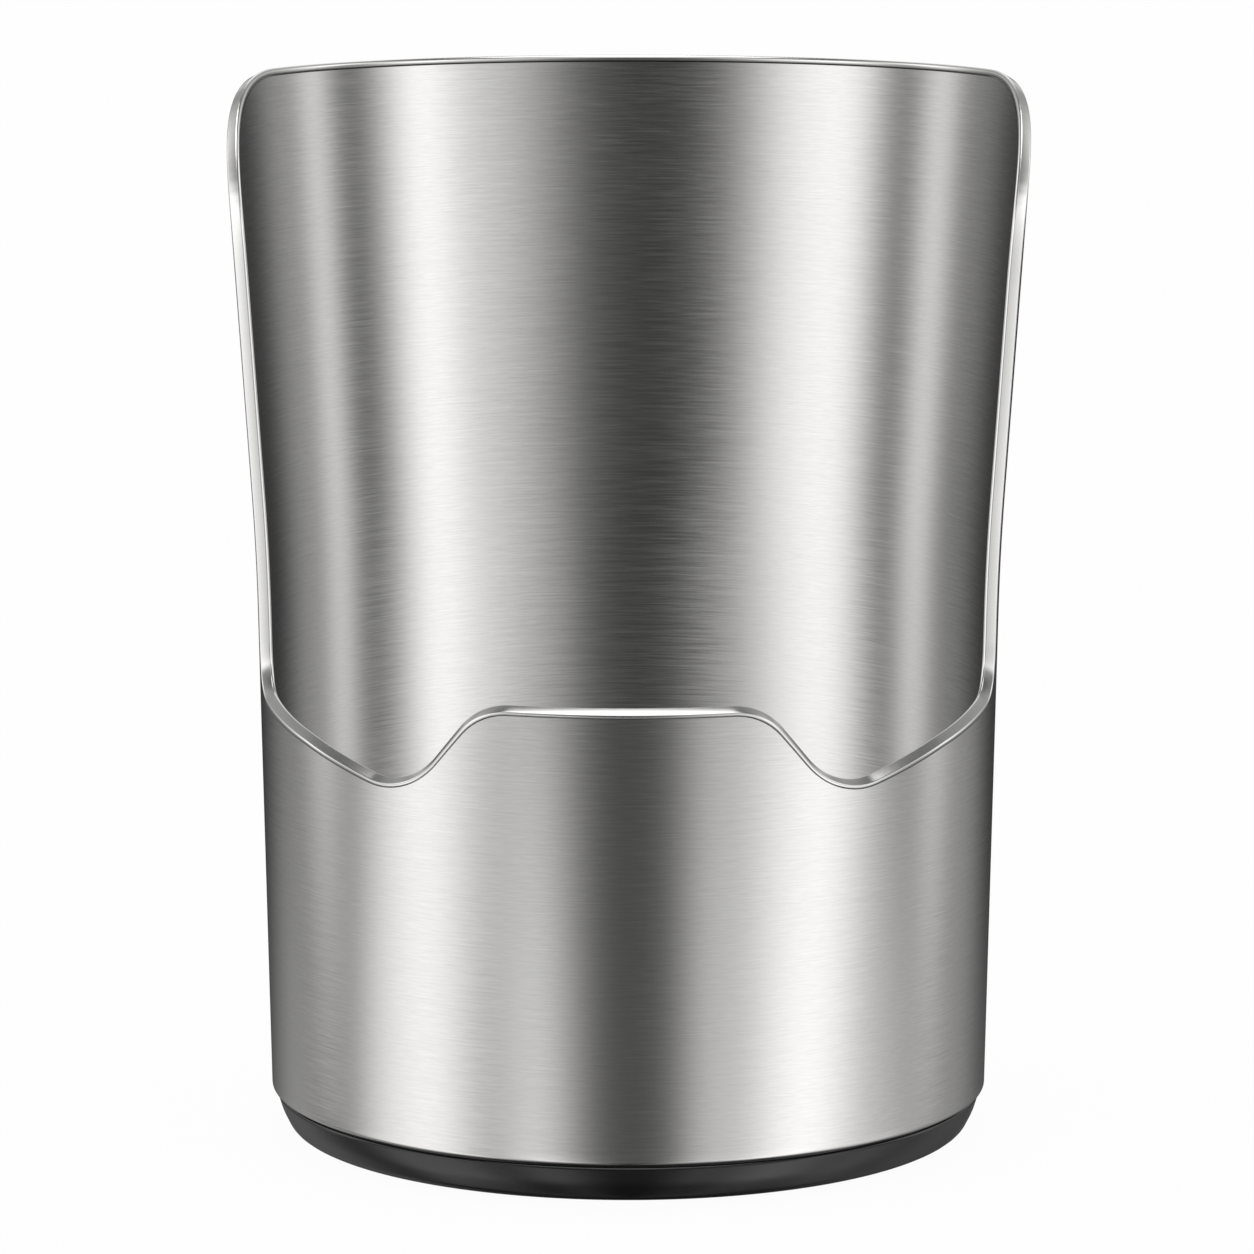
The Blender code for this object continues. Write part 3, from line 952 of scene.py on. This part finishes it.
# %% The rows of soft boxes
# Both rows start with a faint even light. A box in them is an azimuth, a width and a strength.
standing = 0.037
for box in (
    (-125, 16, 0.22), (-107, 8, 0.70), (-72, 10, 0.77), (-53, 14, 1.07),
    (44, 16, 0.68), (69, 11, 1.15), (110, 7, 0.61), (126, 14, 0.32),
):
    standing = standing + upright_box(*box)
on_table = 0.102
for box in (
    (-133, 16, 0.28), (-86, 10, 0.82), (-64, 12, 1.10), (-28, 10, 1.01),
    (26, 7, 0.43), (57, 16, 1.48), (93, 11, 0.56), (125, 17, 0.24),
):
    on_table = on_table + upright_box(*box)

# The raised lights start with one overhead. A box here is an azimuth, a width, a level, a height
# and a strength.
raised = sky.share(z, 0.875, 0.96) * 2.4
for box in (
    (-108, 22, 32, 15, 1.00), (108, 22, 32, 15, 1.00), (0, 30, 46, 17, 1.10),
    (180, 13, 34, 14, 1.20), (180, 50, 50, 14, 0.22), (180, 28, 12, 8, 0.60),
):
    raised = raised + raised_box(*box)
above_table = between(-15.4, -10.0)
studio_light = (
    standing * above_table * (1 - between(26, 40))
    + on_table * (1 - above_table) * (0.25 + between(-68, -46) * 0.75)
    + raised
)
print("nodes in the world's tree:", len(world.node_tree.nodes))

# %% The white that the camera sees
seen_by_camera = sky.node("ShaderNodeLightPath", {}, {}, out=("Is Camera Ray",))[0]
strength = studio_light * (1 - seen_by_camera) + seen_by_camera
paper_white = (1, 1, 1, 1)
glow = sky.node("ShaderNodeBackground", {}, {"Color": paper_white, "Strength": strength})
sky.node("ShaderNodeOutputWorld", {}, {"Surface": glow})

# %% [markdown]
# ## The floor
#
# The photograph has a white ground with hardly a shadow. The floor shows the camera a white that
# keeps a little of the shading, so the holder still stands on something. Steel and gloss plastic
# mirror the studio beyond the floor, so for mirrored and transmitted rays the floor lets the
# world's backdrop through.

# %% A plain pale floor
floor_reach = 8
white_share = 0.965
floor_corners = [(x * floor_reach, y * floor_reach, 0) for x, y in ((-1, -1), (1, -1), (1, 1), (-1, 1))]
floor_mesh = bpy.data.meshes.new("floor")
floor_mesh.from_pydata(floor_corners, [], [(0, 1, 2, 3)])
floor = add_piece("floor", floor_mesh)
floor_paint = bpy.data.materials.new("floor_white")
floor_paint.use_nodes = True
floor_paint.node_tree.nodes.clear()
ground = Bench(floor_paint.node_tree)
camera_ray, glossy_ray, through_ray = ground.node(
    "ShaderNodeLightPath", {}, {}, out=("Is Camera Ray", "Is Glossy Ray", "Is Transmission Ray")
)
matt = ground.node("ShaderNodeBsdfDiffuse", {}, {"Color": (0.85, 0.85, 0.85, 1)})
white = ground.node("ShaderNodeEmission", {}, {"Color": paper_white, "Strength": 1.0})
clear = ground.node("ShaderNodeBsdfTransparent", {}, {})
backdrop = ground.node("ShaderNodeMixShader", {}, {0: camera_ray * white_share, 1: matt, 2: white})
mirrored = ground.math("ADD", glossy_ray, through_ray, clamp=True)
surface = ground.node("ShaderNodeMixShader", {}, {0: mirrored, 1: backdrop, 2: clear})
ground.node("ShaderNodeOutputMaterial", {}, {"Surface": surface})
floor_mesh.materials.append(floor_paint)
bpy.context.scene.view_settings.view_transform = "Standard"
print("floor:", floor_reach * 2, "m wide, white for the camera by", white_share)
